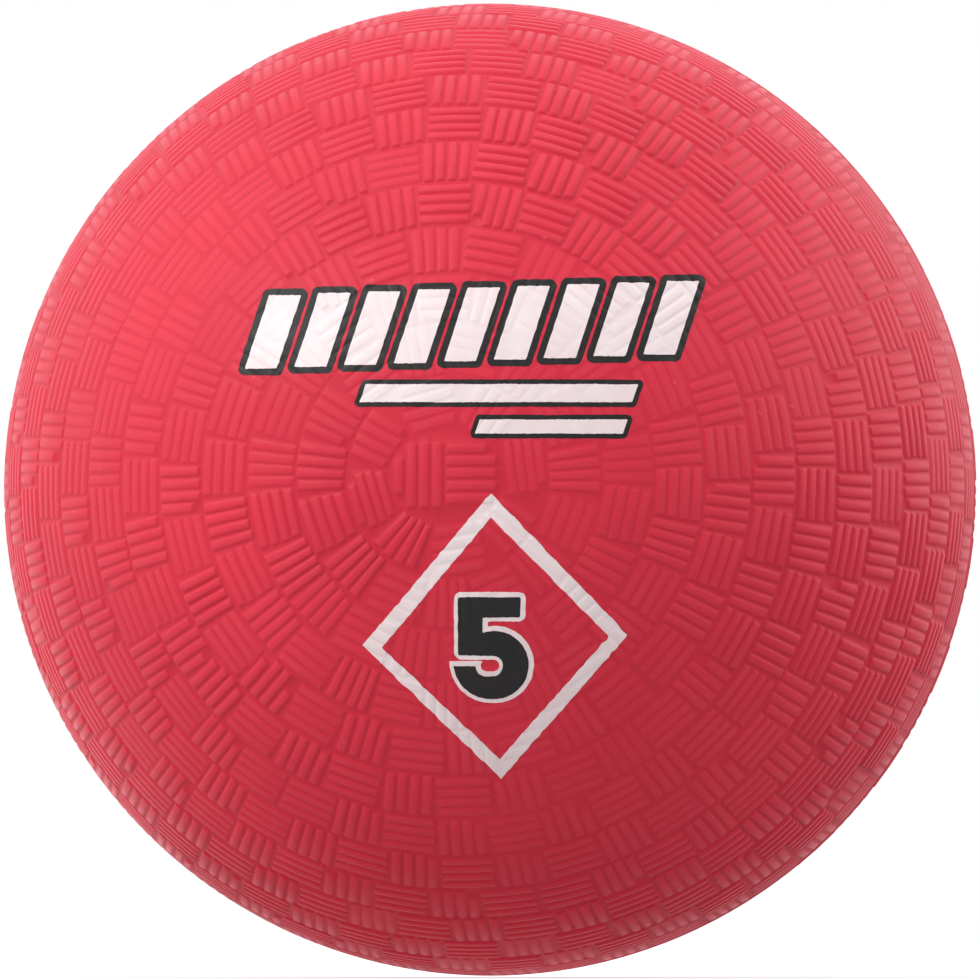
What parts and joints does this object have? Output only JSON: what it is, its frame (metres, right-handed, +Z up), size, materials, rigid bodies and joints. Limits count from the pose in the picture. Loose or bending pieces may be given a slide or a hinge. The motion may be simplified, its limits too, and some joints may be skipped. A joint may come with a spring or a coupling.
{
  "type": "playground rubber ball",
  "caption": "Inflated moulded rubber playground ball with a ribbed basketweave grip texture, a printed size diamond and a self-sealing needle valve at the back pole.",
  "frame": {"origin": "centre of the ball", "axes": "+Z up as the size number reads, -Y through the printed pole, +Y through the inflation valve; the two cover halves meet on the plane Y = 0"},
  "size_m": [0.127, 0.1268, 0.127],
  "materials": {
    "cover_rubber": "satin",
    "ply_rubber": "matt",
    "nylon_winding": "matt thread",
    "patch_rubber": "matt",
    "butyl": "satin",
    "valve_rubber": "satin",
    "core_rubber": "satin",
    "white_ink": "satin ink",
    "black_ink": "satin ink"
  },
  "bodies": {
    "root": {"cover_front": "cover_rubber", "cover_back": "cover_rubber", "inner_ply_front": "ply_rubber", "inner_ply_back": "ply_rubber", "winding": "nylon_winding", "valve_patch": "patch_rubber", "bladder": "butyl", "valve_housing": "valve_rubber", "valve_core": "core_rubber", "print_diamond": "white_ink", "print_numeral": "black_ink", "print_numeral_keyline": "white_ink", "print_dashes": "white_ink", "print_dashes_keyline": "black_ink"}
  },
  "joints": []
}
